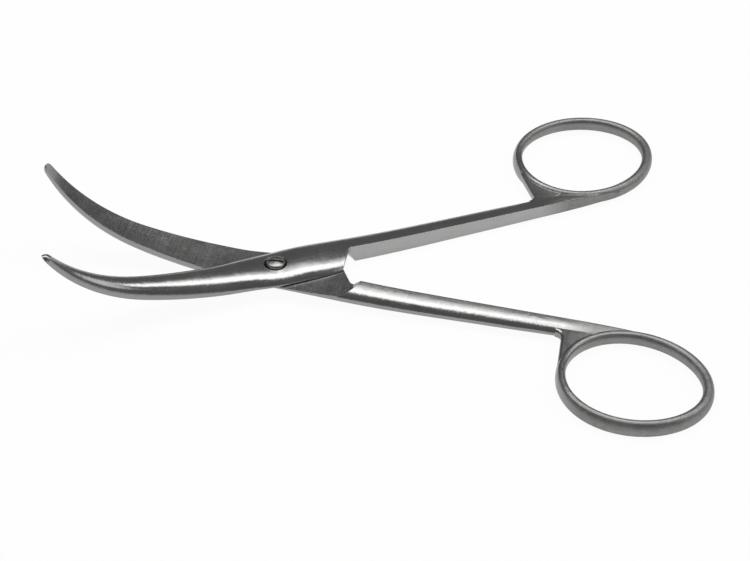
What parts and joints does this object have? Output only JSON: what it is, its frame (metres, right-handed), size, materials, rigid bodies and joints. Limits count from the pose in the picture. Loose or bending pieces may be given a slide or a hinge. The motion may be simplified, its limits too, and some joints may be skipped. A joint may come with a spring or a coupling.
{
  "type": "enucleation scissors",
  "caption": "Slender surgical scissors with strongly curved blunt-tipped blades, a slotted pivot screw and two finger rings, shown part open.",
  "frame": {"origin": "on the pivot axis, in the flat lap plane where the two halves meet", "axes": "+Z along the pivot axis, out of the screw head and the way the blades curve; +X from the pivot toward the finger rings, halfway between the open shanks; +Y toward the upper half's ring"},
  "size_m": [0.122, 0.092, 0.0196],
  "materials": {
    "half_steel": "satin-polished stainless steel",
    "screw_steel": "polished stainless steel"
  },
  "bodies": {
    "lower": {"lower_half": "half_steel", "pivot_screw": "screw_steel"},
    "upper": {"upper_half": "half_steel"}
  },
  "joints": [
    {"name": "blade_pivot", "type": "hinge", "parent": "lower", "child": "upper", "pos_m": [0, 0, 0], "axis": [0, 0, 1], "range_deg": [-33.58, 56.4]}
  ]
}
